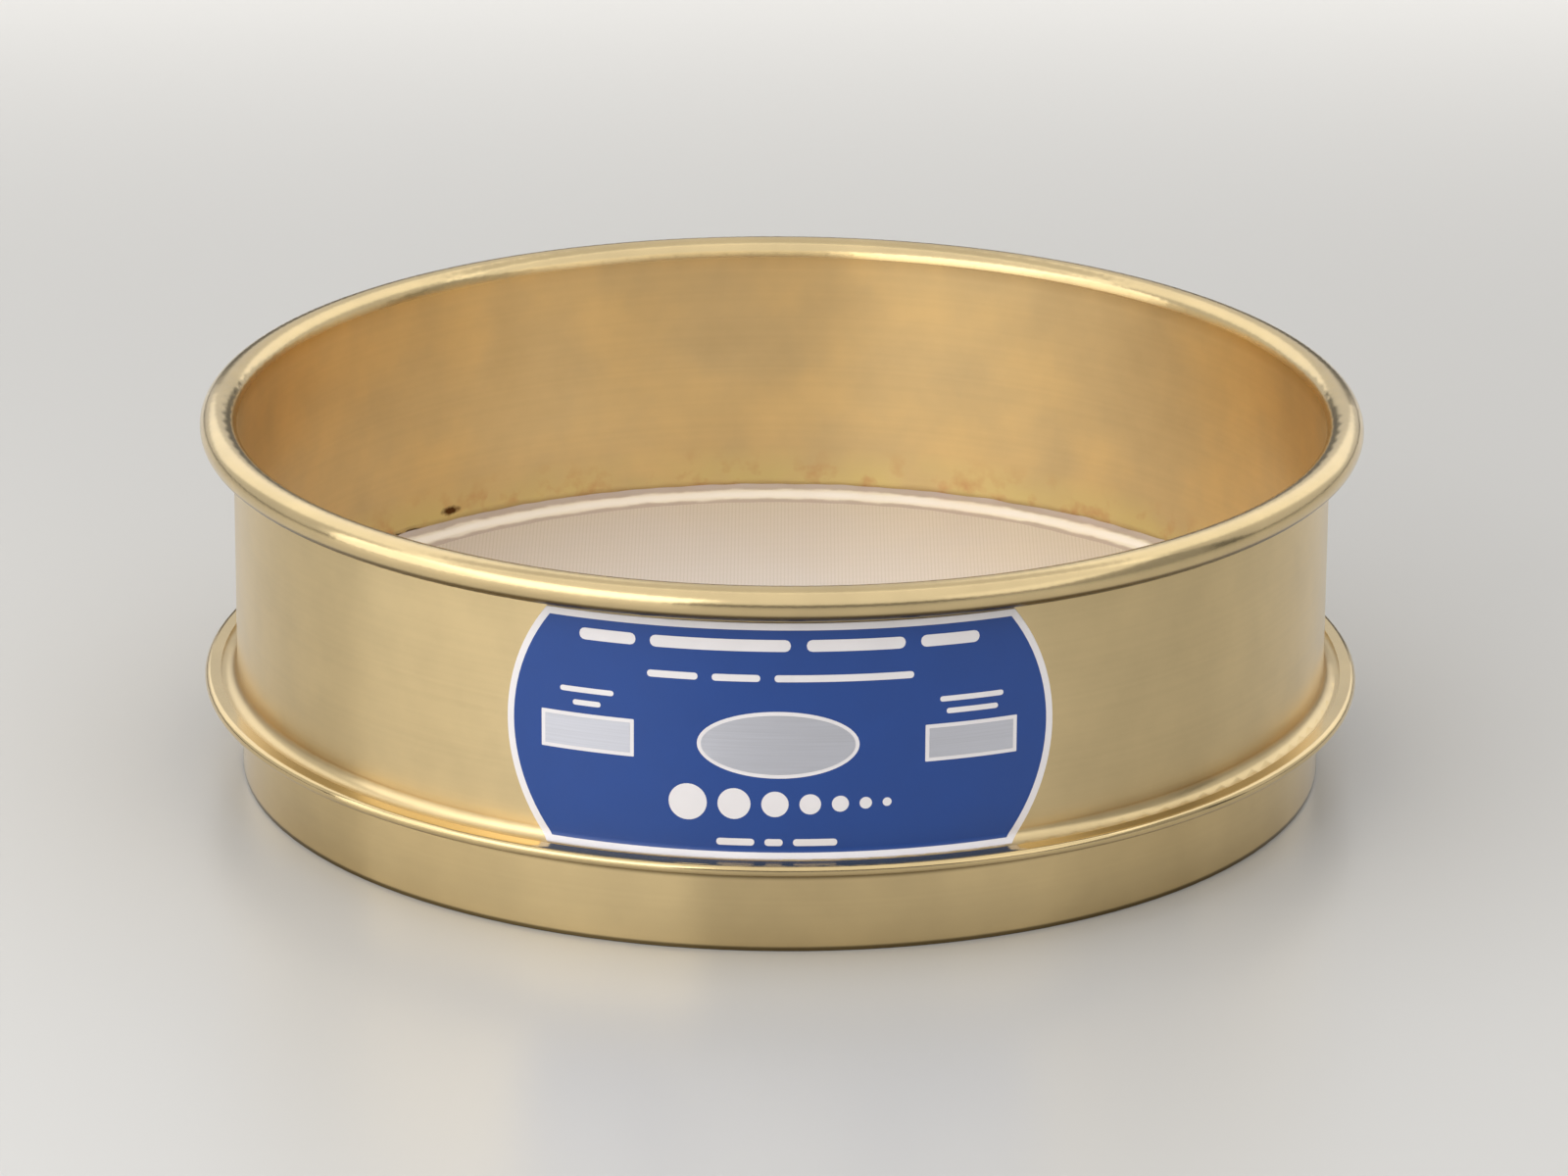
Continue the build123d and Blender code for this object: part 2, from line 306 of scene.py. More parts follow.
def spun_brass(name, finish, clean, bore_radius, creases, wall_roughness, curl_roughness, heated):
    """Yellow brass sheet, spun on a lathe and lacquered.

    The tool leaves fine rings, which stretch each reflection up and down the wall. Handling and
    the torch leave warmer, duller patches inside, strongest beside the solder, and the inside's larger
    share of a lighter warm brass is painted light for its brighter lighting.
    """
    material, tree = new_material(name)
    place = add_node(tree, "ShaderNodeTexCoord").outputs["Object"]
    height = add_node(tree, "ShaderNodeSeparateXYZ", {0: place}).outputs["Z"]

    # Lathe rings are about 0.2 mm apart, and are drawn 1.2 mm apart so that they show
    ring_spacing = 1.2 * MM
    rings = add_node(
        tree,
        "ShaderNodeTexNoise",
        {"W": height, "Scale": 1 / ring_spacing, "Detail": 1.0},
        noise_dimensions="1D",
    ).outputs["Fac"]

    # Handling marks are patches about 20 mm across, as wide as a thumb
    patch_size = 26 * MM
    patches = add_node(
        tree, "ShaderNodeTexNoise", {"Vector": place, "Scale": 1 / patch_size, "Detail": 3.0}
    ).outputs["Fac"]
    patch = add_node(
        tree,
        "ShaderNodeMapRange",
        {"Value": patches, "From Min": 0.36, "From Max": 0.7, "To Min": 0.4},
        interpolation_type="SMOOTHSTEP",
    ).outputs["Result"]

    # The shell's inner face, told from the outer one within the sheet's thickness
    inside = add_node(
        tree,
        "ShaderNodeMapRange",
        {
            "Value": axis_distance(tree, place),
            "From Min": bore_radius + 0.2 * SHEET,
            "From Max": bore_radius + 0.7 * SHEET,
            "To Min": 1.0,
            "To Max": 0.0,
        },
        interpolation_type="SMOOTHSTEP",
    ).outputs["Result"]

    # Handling warms the brass in patches. Inside, the patches take a larger share of a lighter warm
    # brass, which is painted light for the inside's brighter lighting
    warm_outside, lit_warm_added_inside = 0.08, 0.55
    warmth_and_painted_light = add_node(
        tree,
        "ShaderNodeMath",
        {0: inside, 1: lit_warm_added_inside, 2: warm_outside},
        operation="MULTIPLY_ADD",
    ).outputs[0]
    warmth_and_painted_light = add_node(tree, "ShaderNodeMath", {0: warmth_and_painted_light, 1: patch}, operation="MULTIPLY").outputs[0]
    colour = add_node(
        tree,
        "ShaderNodeMix",
        {FACTOR: warmth_and_painted_light, COLOUR_A: clean, COLOUR_B: finish.brass_warm},
        data_type="RGBA",
    ).outputs[COLOUR_OUT]

    # Wear leaves faint clouds in the lacquer, each about 10 mm across, and the rings show in them
    cloud_size = 13 * MM
    darkest, cloud_range, ring_range = 0.85, 0.26, 0.05
    clouds = add_node(
        tree, "ShaderNodeTexNoise", {"Vector": place, "Scale": 1 / cloud_size, "Detail": 4.0}
    ).outputs["Fac"]
    clouded = add_node(
        tree, "ShaderNodeMath", {0: clouds, 1: cloud_range, 2: darkest}, operation="MULTIPLY_ADD"
    ).outputs[0]
    shade = add_node(
        tree, "ShaderNodeMath", {0: rings, 1: ring_range, 2: clouded}, operation="MULTIPLY_ADD"
    ).outputs[0]
    colour = add_node(
        tree, "ShaderNodeHueSaturation", {"Color": colour, "Value": shade}
    ).outputs[0]
    if heated:
        colour = heat_marks(tree, finish, place, height, inside, colour)
    # Painted shade in the outer creases
    colour = paint_crease_shade(tree, finish, height, inside, creases, colour)

    # The rolling tool burnishes the curl, and the wall below it is left satin
    burnish_reach = 4.0 * MM
    base = add_node(
        tree,
        "ShaderNodeMapRange",
        {
            "Value": height,
            "From Min": CURL_BOTTOM,
            "From Max": CURL_BOTTOM + burnish_reach,
            "To Min": wall_roughness,
            "To Max": curl_roughness,
        },
    ).outputs["Result"]

    # Shares of that roughness: the cleanest brass, and what patches, rings and the inside add
    cleanest, patch_adds, ring_adds, inside_adds = 0.88, 0.1, 0.1, 0.25
    share = add_node(
        tree, "ShaderNodeMath", {0: patch, 1: patch_adds, 2: cleanest}, operation="MULTIPLY_ADD"
    ).outputs[0]
    share = add_node(
        tree, "ShaderNodeMath", {0: rings, 1: ring_adds, 2: share}, operation="MULTIPLY_ADD"
    ).outputs[0]
    share = add_node(
        tree, "ShaderNodeMath", {0: inside, 1: inside_adds, 2: share}, operation="MULTIPLY_ADD"
    ).outputs[0]
    roughness = add_node(tree, "ShaderNodeMath", {0: base, 1: share}, operation="MULTIPLY").outputs[0]
    tangent = add_node(tree, "ShaderNodeTangent", direction_type="RADIAL", axis="Z").outputs[0]
    relief = add_node(
        tree, "ShaderNodeBump", {"Height": rings, "Strength": 0.8, "Distance": 0.02 * MM}
    ).outputs[0]
    shader = add_node(
        tree,
        "ShaderNodeBsdfPrincipled",
        {
            "Base Color": colour,
            "Metallic": 1.0,
            "Roughness": roughness,
            "Anisotropic": 0.7,
            "Anisotropic Rotation": 0.25,
            "Tangent": tangent,
            "Normal": relief,
        },
    ).outputs[0]
    add_node(tree, "ShaderNodeOutputMaterial", {0: shader})
    return material


def paint_crease_shade(tree, finish, height, inside, creases, colour):
    """Darkens a brass colour outside with painted shade, in the folds it is given.

    Each crease is given as its height and as how far the painted shade reaches from there.
    """
    outside = add_node(tree, "ShaderNodeMath", {0: 1.0, 1: inside}, operation="SUBTRACT").outputs[0]
    for middle, reach in creases:
        away = add_node(
            tree, "ShaderNodeMath", {0: height, 1: middle}, operation="SUBTRACT"
        ).outputs[0]
        away = add_node(tree, "ShaderNodeMath", {0: away}, operation="ABSOLUTE").outputs[0]
        share = add_node(
            tree,
            "ShaderNodeMapRange",
            {"Value": away, "From Min": 0.5 * reach, "From Max": reach, "To Min": 0.85, "To Max": 0.0},
            interpolation_type="SMOOTHSTEP",
        ).outputs["Result"]
        share = add_node(
            tree, "ShaderNodeMath", {0: share, 1: outside}, operation="MULTIPLY"
        ).outputs[0]
        colour = add_node(
            tree,
            "ShaderNodeMix",
            {FACTOR: share, COLOUR_A: colour, COLOUR_B: finish.crease_shade_brown},
            data_type="RGBA",
        ).outputs[COLOUR_OUT]
    return colour


def heat_marks(tree, finish, place, height, inside, colour):
    """Adds the torch's traces to a brass colour: straw and orange by the solder, and one speck."""
    near_solder = add_node(
        tree,
        "ShaderNodeMapRange",
        {
            "Value": height,
            "From Min": CLOTH_TOP + 3 * MM,
            "From Max": CLOTH_TOP + 10 * MM,
            "To Min": 1.0,
            "To Max": 0.0,
        },
    ).outputs["Result"]
    near_solder = add_node(
        tree, "ShaderNodeMath", {0: near_solder, 1: inside}, operation="MULTIPLY"
    ).outputs[0]
    for tint, patch_size, patch_starts, patch_full in (
        (finish.straw_tint, 14 * MM, 0.3, 0.55),
        (finish.orange_tint, 5 * MM, 0.52, 0.78),
    ):
        cloud = add_node(
            tree, "ShaderNodeTexNoise", {"Vector": place, "Scale": 1 / patch_size, "Detail": 3.0}
        ).outputs["Fac"]
        share = add_node(
            tree,
            "ShaderNodeMapRange",
            {"Value": cloud, "From Min": patch_starts, "From Max": patch_full},
        ).outputs["Result"]
        share = add_node(
            tree, "ShaderNodeMath", {0: share, 1: near_solder}, operation="MULTIPLY"
        ).outputs[0]
        colour = add_node(
            tree,
            "ShaderNodeMix",
            {FACTOR: share, COLOUR_A: colour, COLOUR_B: tint},
            data_type="RGBA",
        ).outputs[COLOUR_OUT]

    # One burnt speck, about 5 mm long and 2 mm high, where the solder meets the wall
    speck_place = Vector((-65.4, 77.8, 21.2)) * MM
    half_long, half_high = 2.6 * MM, 1.0 * MM
    edge_grain, edge_waver = 1.2 * MM, 0.9
    offset = add_node(
        tree, "ShaderNodeVectorMath", {0: place, 1: speck_place}, operation="SUBTRACT"
    ).outputs["Vector"]
    scaled = add_node(
        tree,
        "ShaderNodeVectorMath",
        {0: offset, 1: (1 / half_long, 1 / half_long, 1 / half_high)},
        operation="MULTIPLY",
    ).outputs["Vector"]
    reach = add_node(
        tree, "ShaderNodeVectorMath", {0: scaled}, operation="LENGTH"
    ).outputs["Value"]
    ragged = add_node(
        tree, "ShaderNodeTexNoise", {"Vector": place, "Scale": 1 / edge_grain, "Detail": 2.0}
    ).outputs["Fac"]
    reach = add_node(
        tree, "ShaderNodeMath", {0: ragged, 1: edge_waver, 2: reach}, operation="MULTIPLY_ADD"
    ).outputs[0]
    speck = add_node(
        tree,
        "ShaderNodeMapRange",
        {"Value": reach, "From Min": 0.9, "From Max": 1.5, "To Min": 1.0, "To Max": 0.0},
    ).outputs["Result"]
    speck = add_node(tree, "ShaderNodeMath", {0: speck, 1: inside}, operation="MULTIPLY").outputs[0]
    return add_node(
        tree,
        "ShaderNodeMix",
        {FACTOR: speck, COLOUR_A: colour, COLOUR_B: finish.soot},
        data_type="RGBA",
    ).outputs[COLOUR_OUT]


def woven_wire(finish):
    """Plain woven phosphor-bronze wire, drawn flat.

    Each wire passes over and under in turn. Its crowns are painted lighter, as painted highlight, and
    the openings between them darker, as painted shade, which softens the disc to a pale even cloth.
    """
    material, tree = new_material("plain_woven_wire")
    place = add_node(tree, "ShaderNodeTexCoord").outputs["Object"]

    # The wires are about 0.15 mm apart, and are drawn 0.7 mm apart so that they show
    wire_spacing = 0.7 * MM
    turns = math.pi / wire_spacing
    scaled = add_node(
        tree, "ShaderNodeVectorMath", {0: place, 1: (turns, turns, 0)}, operation="MULTIPLY"
    ).outputs["Vector"]
    axes = add_node(tree, "ShaderNodeSeparateXYZ", {0: scaled})
    warp = add_node(tree, "ShaderNodeMath", {0: axes.outputs["X"]}, operation="SINE").outputs[0]
    weft = add_node(tree, "ShaderNodeMath", {0: axes.outputs["Y"]}, operation="SINE").outputs[0]
    over = add_node(tree, "ShaderNodeMath", {0: warp, 1: weft}, operation="MULTIPLY").outputs[0]
    # Painted highlight on the crowns and painted shade in the openings, laid over the weave
    crown_highlight = add_node(tree, "ShaderNodeMath", {0: over}, operation="ABSOLUTE").outputs[0]
    share = add_node(
        tree,
        "ShaderNodeMapRange",
        {"Value": crown_highlight, "From Min": 0.0, "From Max": 0.6},
        interpolation_type="SMOOTHSTEP",
    ).outputs["Result"]
    colour = add_node(
        tree,
        "ShaderNodeMix",
        {FACTOR: share, COLOUR_A: finish.wire_gap, COLOUR_B: finish.wire},
        data_type="RGBA",
    ).outputs[COLOUR_OUT]

    # Grains rub the wires, and leave broad clouds that shine a little more or less
    cloud_size = 30 * MM
    smoothest, cloud_adds = 0.4, 0.2
    clouds = add_node(
        tree, "ShaderNodeTexNoise", {"Vector": place, "Scale": 1 / cloud_size, "Detail": 3.0}
    ).outputs["Fac"]
    roughness = add_node(
        tree, "ShaderNodeMath", {0: clouds, 1: cloud_adds, 2: smoothest}, operation="MULTIPLY_ADD"
    ).outputs[0]
    relief = add_node(
        tree, "ShaderNodeBump", {"Height": over, "Strength": 0.15, "Distance": 0.05 * MM}
    ).outputs[0]
    shader = add_node(
        tree,
        "ShaderNodeBsdfPrincipled",
        {"Base Color": colour, "Metallic": 0.3, "Roughness": roughness, "Normal": relief},
    ).outputs[0]
    add_node(tree, "ShaderNodeOutputMaterial", {0: shader})
    return material


def flowed_solder(finish):
    """Tin solder, flowed with a torch and wiped.

    Its bead is painted bright, as painted highlight, and its two flat sides a mauve grey, as painted
    reflection and shade, where flux and oxide also roughen its skin: on the tinned wires, and in a
    line along the wall.
    """
    material, tree = new_material("flowed_tin_solder")
    place = add_node(tree, "ShaderNodeTexCoord").outputs["Object"]

    # The skin puckers every few millimetres, and the band of painted highlight wanders with it
    skin_size = 6 * MM
    wander_range = 2.4 * MM
    skin = add_node(
        tree, "ShaderNodeTexNoise", {"Vector": place, "Scale": 1 / skin_size, "Detail": 3.0}
    ).outputs["Fac"]
    wander = add_node(
        tree,
        "ShaderNodeMath",
        {0: skin, 1: wander_range, 2: -wander_range / 2},
        operation="MULTIPLY_ADD",
    ).outputs[0]
    across = add_node(
        tree, "ShaderNodeMath", {0: axis_distance(tree, place), 1: wander}, operation="ADD"
    ).outputs[0]
    from_bead = add_node(
        tree, "ShaderNodeMath", {0: across, 1: BEAD_RADIUS}, operation="SUBTRACT"
    ).outputs[0]
    from_bead = add_node(tree, "ShaderNodeMath", {0: from_bead}, operation="ABSOLUTE").outputs[0]
    # Painted highlight and painted shade: the bead's middle keeps the bright colour and the flat sides
    # take the grey, in place of their darker reflections; the same share roughens the sides, as oxide
    # does
    oxide_and_painted_shade = add_node(
        tree,
        "ShaderNodeMapRange",
        {"Value": from_bead, "From Min": 0.9 * MM, "From Max": 2.2 * MM, "To Max": 0.75},
        interpolation_type="SMOOTHSTEP",
    ).outputs["Result"]
    colour = add_node(
        tree,
        "ShaderNodeMix",
        {FACTOR: oxide_and_painted_shade, COLOUR_A: finish.solder, COLOUR_B: finish.solder_oxide_and_shade},
        data_type="RGBA",
    ).outputs[COLOUR_OUT]
    bright_roughness, dull_adds = 0.34, 0.2
    roughness = add_node(
        tree,
        "ShaderNodeMath",
        {0: oxide_and_painted_shade, 1: dull_adds, 2: bright_roughness},
        operation="MULTIPLY_ADD",
    ).outputs[0]
    relief = add_node(
        tree, "ShaderNodeBump", {"Height": skin, "Strength": 0.15, "Distance": 0.1 * MM}
    ).outputs[0]
    shader = add_node(
        tree,
        "ShaderNodeBsdfPrincipled",
        {"Base Color": colour, "Metallic": 0.25, "Roughness": roughness, "Normal": relief},
    ).outputs[0]
    add_node(tree, "ShaderNodeOutputMaterial", {0: shader})
    return material


def baked_enamel(name, enamel, mean_roughness):
    """Silk-screened enamel, baked on the plate.

    The ink levels to a gloss with a slight orange peel, and rubs a little duller in patches.
    """
    material, tree = new_material(name)
    place = add_node(tree, "ShaderNodeTexCoord").outputs["Object"]
    rub_size, peel_size = 8 * MM, 2.0 * MM
    rub_range = 0.16
    rub = add_node(
        tree, "ShaderNodeTexNoise", {"Vector": place, "Scale": 1 / rub_size, "Detail": 3.0}
    ).outputs["Fac"]
    roughness = add_node(
        tree,
        "ShaderNodeMath",
        {0: rub, 1: rub_range, 2: mean_roughness - rub_range / 2},
        operation="MULTIPLY_ADD",
    ).outputs[0]
    shade = add_node(
        tree,
        "ShaderNodeMath",
        {0: rub, 1: rub_range, 2: 1 - rub_range / 2},
        operation="MULTIPLY_ADD",
    ).outputs[0]
    colour = add_node(
        tree, "ShaderNodeHueSaturation", {"Color": enamel, "Value": shade}
    ).outputs[0]
    peel = add_node(
        tree, "ShaderNodeTexNoise", {"Vector": place, "Scale": 1 / peel_size, "Detail": 0.0}
    ).outputs["Fac"]
    relief = add_node(
        tree, "ShaderNodeBump", {"Height": peel, "Strength": 0.1, "Distance": 0.02 * MM}
    ).outputs[0]
    shader = add_node(
        tree,
        "ShaderNodeBsdfPrincipled",
        {"Base Color": colour, "Roughness": roughness, "Normal": relief},
    ).outputs[0]
    add_node(tree, "ShaderNodeOutputMaterial", {0: shader})
    return material


def brushed_aluminium(aluminium):
    """Aluminium left bare in the plate's windows, brushed along the plate before it was printed.

    The brush leaves fine scratches side by side, which spread a reflection up and down, and its
    thin clear size takes some of the metal's shine.
    """
    material, tree = new_material("brushed_sized_aluminium")
    place = add_node(tree, "ShaderNodeTexCoord").outputs["Object"]

    # Scratches are about 0.05 mm apart, and are drawn 0.3 mm apart so that they show
    scratch_spacing = 0.3 * MM
    scratch_length = 50 / 3 * MM
    along = 1 / scratch_length
    scratch_place = add_node(
        tree,
        "ShaderNodeVectorMath",
        {0: place, 1: (along, along, 1 / scratch_spacing)},
        operation="MULTIPLY",
    ).outputs["Vector"]
    scratches = add_node(
        tree, "ShaderNodeTexNoise", {"Vector": scratch_place, "Scale": 1.0, "Detail": 2.0}
    ).outputs["Fac"]
    smoothest, darkest, scratch_range = 0.32, 0.9, 0.2
    roughness = add_node(
        tree,
        "ShaderNodeMath",
        {0: scratches, 1: scratch_range, 2: smoothest},
        operation="MULTIPLY_ADD",
    ).outputs[0]
    shade = add_node(
        tree,
        "ShaderNodeMath",
        {0: scratches, 1: scratch_range, 2: darkest},
        operation="MULTIPLY_ADD",
    ).outputs[0]
    colour = add_node(
        tree, "ShaderNodeHueSaturation", {"Color": aluminium, "Value": shade}
    ).outputs[0]
    tangent = add_node(tree, "ShaderNodeTangent", direction_type="RADIAL", axis="Z").outputs[0]
    shader = add_node(
        tree,
        "ShaderNodeBsdfPrincipled",
        {
            "Base Color": colour,
            "Metallic": 0.85,
            "Roughness": roughness,
            "Anisotropic": 0.5,
            "Anisotropic Rotation": 0.25,
            "Tangent": tangent,
        },
    ).outputs[0]
    add_node(tree, "ShaderNodeOutputMaterial", {0: shader})
    return material


def dress(node_name, material):
    """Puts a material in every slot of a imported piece."""
    for slot in frame["nodes"][node_name].material_slots:
        slot.material = material


# Meshes


def finish_mesh(name, bm, material):
    """Turns a bmesh into a smooth, sharp-edged piece that rides on the sieve."""
    bmesh.ops.recalc_face_normals(bm, faces=bm.faces[:])
    # That can choose the wrong side of a thin curved slab, which then has a volume below zero
    if bm.calc_volume(signed=True) < 0:
        bmesh.ops.reverse_faces(bm, faces=bm.faces[:])
    mesh = bpy.data.meshes.new(name)
    bm.to_mesh(mesh)
    bm.free()
    mesh.shade_smooth()
    mesh.set_sharp_from_angle(angle=SHARP_ANGLE)
    mesh.materials.append(material)
    piece = bpy.data.objects.new(name, mesh)
    bpy.context.scene.collection.objects.link(piece)
    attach(piece, BODY)
    return piece


def shares(steps):
    """Even shares of a run, from its first step to the whole."""
    return [step / steps for step in range(1, steps + 1)]


def flare_radius_at(height):
    """Radius of the flare's inner face at a height."""
    rise = FLARE_CENTRE_HEIGHT - height
    return FLARE_CENTRE_RADIUS - math.sqrt(FLARE_INNER_ROUND**2 - rise**2)


def wander_at(around, coarse, fine, fine_share):
    """A wander from -1 to 1 or so, that comes back to itself after one turn round the sieve."""
    return noise.noise(around * coarse) + fine_share * noise.noise(around * fine)


def solder_section(settings, angle):
    """The bead's section at one angle, as (radius, height) from its inner toe round to its back."""
    around = Vector((math.sin(angle), -math.cos(angle), 0))
    waver = settings.waver * wander_at(around, *WAVER_NOISE)
    lump = settings.lump * wander_at(around, *LUMP_NOISE)
    climb = CONTACT_WANDER * noise.noise(around * CONTACT_NOISE + CONTACT_NOISE_PLACE)
    inner = settings.clear_radius + waver
    toe_height = CLOTH_TOP + TOE_RISE + TOE_LUMP_SHARE * lump
    foot_radius = BEAD_RADIUS - BEAD_HALF_WIDTH + waver
    shelf_radius = BEAD_RADIUS + BEAD_HALF_WIDTH + SHELF_WAVER_SHARE * waver
    shelf_height = CLOTH_TOP + SHELF_RISE + lump
    contact_height = CLOTH_TOP + CONTACT_RISE + climb
    contact_radius = flare_radius_at(contact_height)
    toe = [
        (
            inner + (foot_radius - inner) * share,
            CLOTH_TOP + (toe_height - CLOTH_TOP) * math.sin(math.pi / 2 * share),
        )
        for share in shares(TOE_STEPS)
    ]
    bead = [
        (
            foot_radius + (shelf_radius - foot_radius) * share,
            toe_height + (shelf_height - toe_height) * (1 - math.cos(math.pi * share)) / 2,
        )
        for share in shares(BEAD_STEPS)
    ]
    shelf = [
        (
            shelf_radius + (contact_radius - shelf_radius) * share,
            shelf_height + (contact_height - shelf_height) * share**2,
        )
        for share in shares(SHELF_STEPS)
    ]
    back_drop = contact_height - (CLOTH_TOP + BACK_FOOT_RISE)
    back_heights = [contact_height - back_drop * share for share in shares(BACK_STEPS)]
    back = [(flare_radius_at(height), height) for height in back_heights]
    return [(inner, CLOTH_TOP), *toe, *bead, *shelf, *back, (back[-1][0], CLOTH_TOP)]


def revolve_section(section_at, segments):
    """A closed ring whose section is worked out afresh at each step round the axis."""
    bm = bmesh.new()
    rings = []
    for step in range(segments):
        angle = 2 * math.pi * step / segments
        rings.append(
            [
                bm.verts.new((r * math.sin(angle), -r * math.cos(angle), h))
                for r, h in section_at(angle)
            ]
        )
    for here, there in zip(rings, rings[1:] + rings[:1]):
        for a, b, c, d in zip(here, there, there[1:] + there[:1], here[1:] + here[:1]):
            bm.faces.new((a, b, c, d))
    return bm


# Print on the nameplate: shapes are drawn flat, as (arc, height) along the wall, then wrapped


def plate_point(arc, height, lift):
    """A point at a lift above the plate's face: arc along the wall, height along its section."""
    angle = arc / WALL_OUTER_RADIUS
    drop = FLARE_CENTRE_HEIGHT - height
    if drop <= 0:
        radius, z = PLATE_FRONT_RADIUS + lift, height
    else:
        turn = drop / PLATE_FOOT_ROUND
        hollow = PLATE_FOOT_ROUND - lift
        radius = FLARE_CENTRE_RADIUS - hollow * math.cos(turn)
        z = FLARE_CENTRE_HEIGHT - hollow * math.sin(turn)
    return (radius * math.sin(angle), -radius * math.cos(angle), z)


def cut_flat(bm, place, direction):
    """Cuts flat print along a line. A corner that is already on the line is used as it stands."""
    bmesh.ops.bisect_plane(
        bm,
        geom=bm.verts[:] + bm.edges[:] + bm.faces[:],
        dist=CUT_SNAP,
        plane_co=place,
        plane_no=direction,
    )


def wrapped_slab(name, outline, lift, thickness, slice_width, material):
    """A thin closed slab of print: its outline is cut into narrow strips and wrapped on the plate."""
    bm = bmesh.new()
    bm.faces.new([bm.verts.new((arc, height, 0)) for arc, height in outline])
    low_arc, high_arc = min(p[0] for p in outline), max(p[0] for p in outline)
    slices = int((high_arc - low_arc) / slice_width) + 1
    for step in range(1, slices):
        cut_flat(bm, (low_arc + (high_arc - low_arc) * step / slices, 0, 0), (1, 0, 0))
    low = min(p[1] for p in outline)
    fold = FLARE_CENTRE_HEIGHT
    while fold > low:
        cut_flat(bm, (0, fold, 0), (0, 1, 0))
        fold -= FOLD_STEP
    extruded = bmesh.ops.extrude_face_region(bm, geom=bm.faces[:])["geom"]
    top = {item for item in extruded if isinstance(item, bmesh.types.BMVert)}
    for vert in bm.verts:
        rise = thickness if vert in top else 0
        vert.co = plate_point(vert.co.x, vert.co.y, lift + rise)
    return finish_mesh(name, bm, material)


def plate_end(height, inset):
    """Half width of the plate's outline at a height, less an inset, along the wall."""
    low, high = PLATE_FOOT_HEIGHT, PLATE_TOP
    half_wide = WALL_OUTER_RADIUS * math.sin(PLATE_HALF_WIDE / WALL_OUTER_RADIUS)
    half_narrow = WALL_OUTER_RADIUS * math.sin(PLATE_HALF_NARROW / WALL_OUTER_RADIUS)
    bow, half_height = half_wide - half_narrow, (high - low) / 2
    bow_radius = (half_height**2 + bow**2) / (2 * bow)
    from_middle = height - (high + low) / 2
    x = half_wide - bow_radius + math.sqrt((bow_radius - inset) ** 2 - from_middle**2)
    return WALL_OUTER_RADIUS * math.asin(x / WALL_OUTER_RADIUS)


def field_outline(inset):
    """The plate's outline, drawn in by an inset."""
    low, high = PLATE_FOOT_ALONG + inset, PLATE_TOP - inset
    heights = [low + (high - low) * step / FIELD_STEPS for step in range(FIELD_STEPS + 1)]
    right = [(plate_end(max(h, PLATE_FOOT_HEIGHT), inset), h) for h in heights]
    return right + [(-arc, h) for arc, h in reversed(right)]


def rounded_bar(centre, width, height, corner):
    """Outline of a bar with rounded corners."""
    points = []
    for quarter, (side, end) in enumerate(((1, 1), (-1, 1), (-1, -1), (1, -1))):
        for turn_within in range(0, 91, CORNER_STEP):
            turn = math.radians(90 * quarter + turn_within)
            points.append(
                (
                    centre[0] + side * (width / 2 - corner) + corner * math.cos(turn),
                    centre[1] + end * (height / 2 - corner) + corner * math.sin(turn),
                )
            )
    return points


def oval(centre, half_width, half_height, steps):
    """Outline of an oval."""
    turns = [2 * math.pi * step / steps for step in range(steps)]
    return [
        (centre[0] + half_width * math.cos(t), centre[1] + half_height * math.sin(t))
        for t in turns
    ]


def metres(place):
    """A place given in millimetres, in metres."""
    return tuple(length * MM for length in place)


# Operators


class SIEVE_OT_brass(bpy.types.Operator):
    """Finish the two spun brass shells"""

    bl_idname = "sieve.brass"
    bl_label = "Finish Brass"

    def execute(self, context):
        finish = context.scene.sieve_finish
        # Painted shade in the crease under the curl
        shade_under_curl = (CURL_BOTTOM + 0.6 * MM, 1.5 * MM)
        frame_brass = spun_brass(
            "spun_brass_frame",
            finish,
            clean=finish.brass,
            bore_radius=WALL_INNER_RADIUS,
            creases=(shade_under_curl,),
            wall_roughness=0.3,
            curl_roughness=0.2,
            heated=True,
        )
        dress("upper_frame", frame_brass)
        # Painted shade under the hem, and a painted contact shadow along the foot
        shade_under_hem = (HEM_BOTTOM - 1.2 * MM, 2.0 * MM)
        foot = (0.0, 1.1 * MM)
        skirt_brass = spun_brass(
            "polished_brass_skirt",
            finish,
            clean=finish.skirt_brass,
            bore_radius=SKIRT_INNER_RADIUS,
            creases=(shade_under_hem, foot),
            wall_roughness=0.14,
            curl_roughness=0.14,
            heated=False,
        )
        dress("skirt", skirt_brass)
        return {"FINISHED"}


class SIEVE_OT_cloth(bpy.types.Operator):
    """Finish the woven wire disc"""

    bl_idname = "sieve.cloth"
    bl_label = "Finish Cloth"

    def execute(self, context):
        dress("sieve_cloth", woven_wire(context.scene.sieve_finish))
        return {"FINISHED"}


class SIEVE_OT_solder(bpy.types.Operator):
    """Lay the solder bead between the cloth and the frame"""

    bl_idname = "sieve.solder"
    bl_label = "Lay Solder"

    def execute(self, context):
        settings = context.scene.sieve_solder
        bm = revolve_section(lambda angle: solder_section(settings, angle), settings.segments)
        bead = finish_mesh("solder_bead", bm, flowed_solder(context.scene.sieve_finish))
        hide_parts("solder_ring")
        return {"FINISHED"}


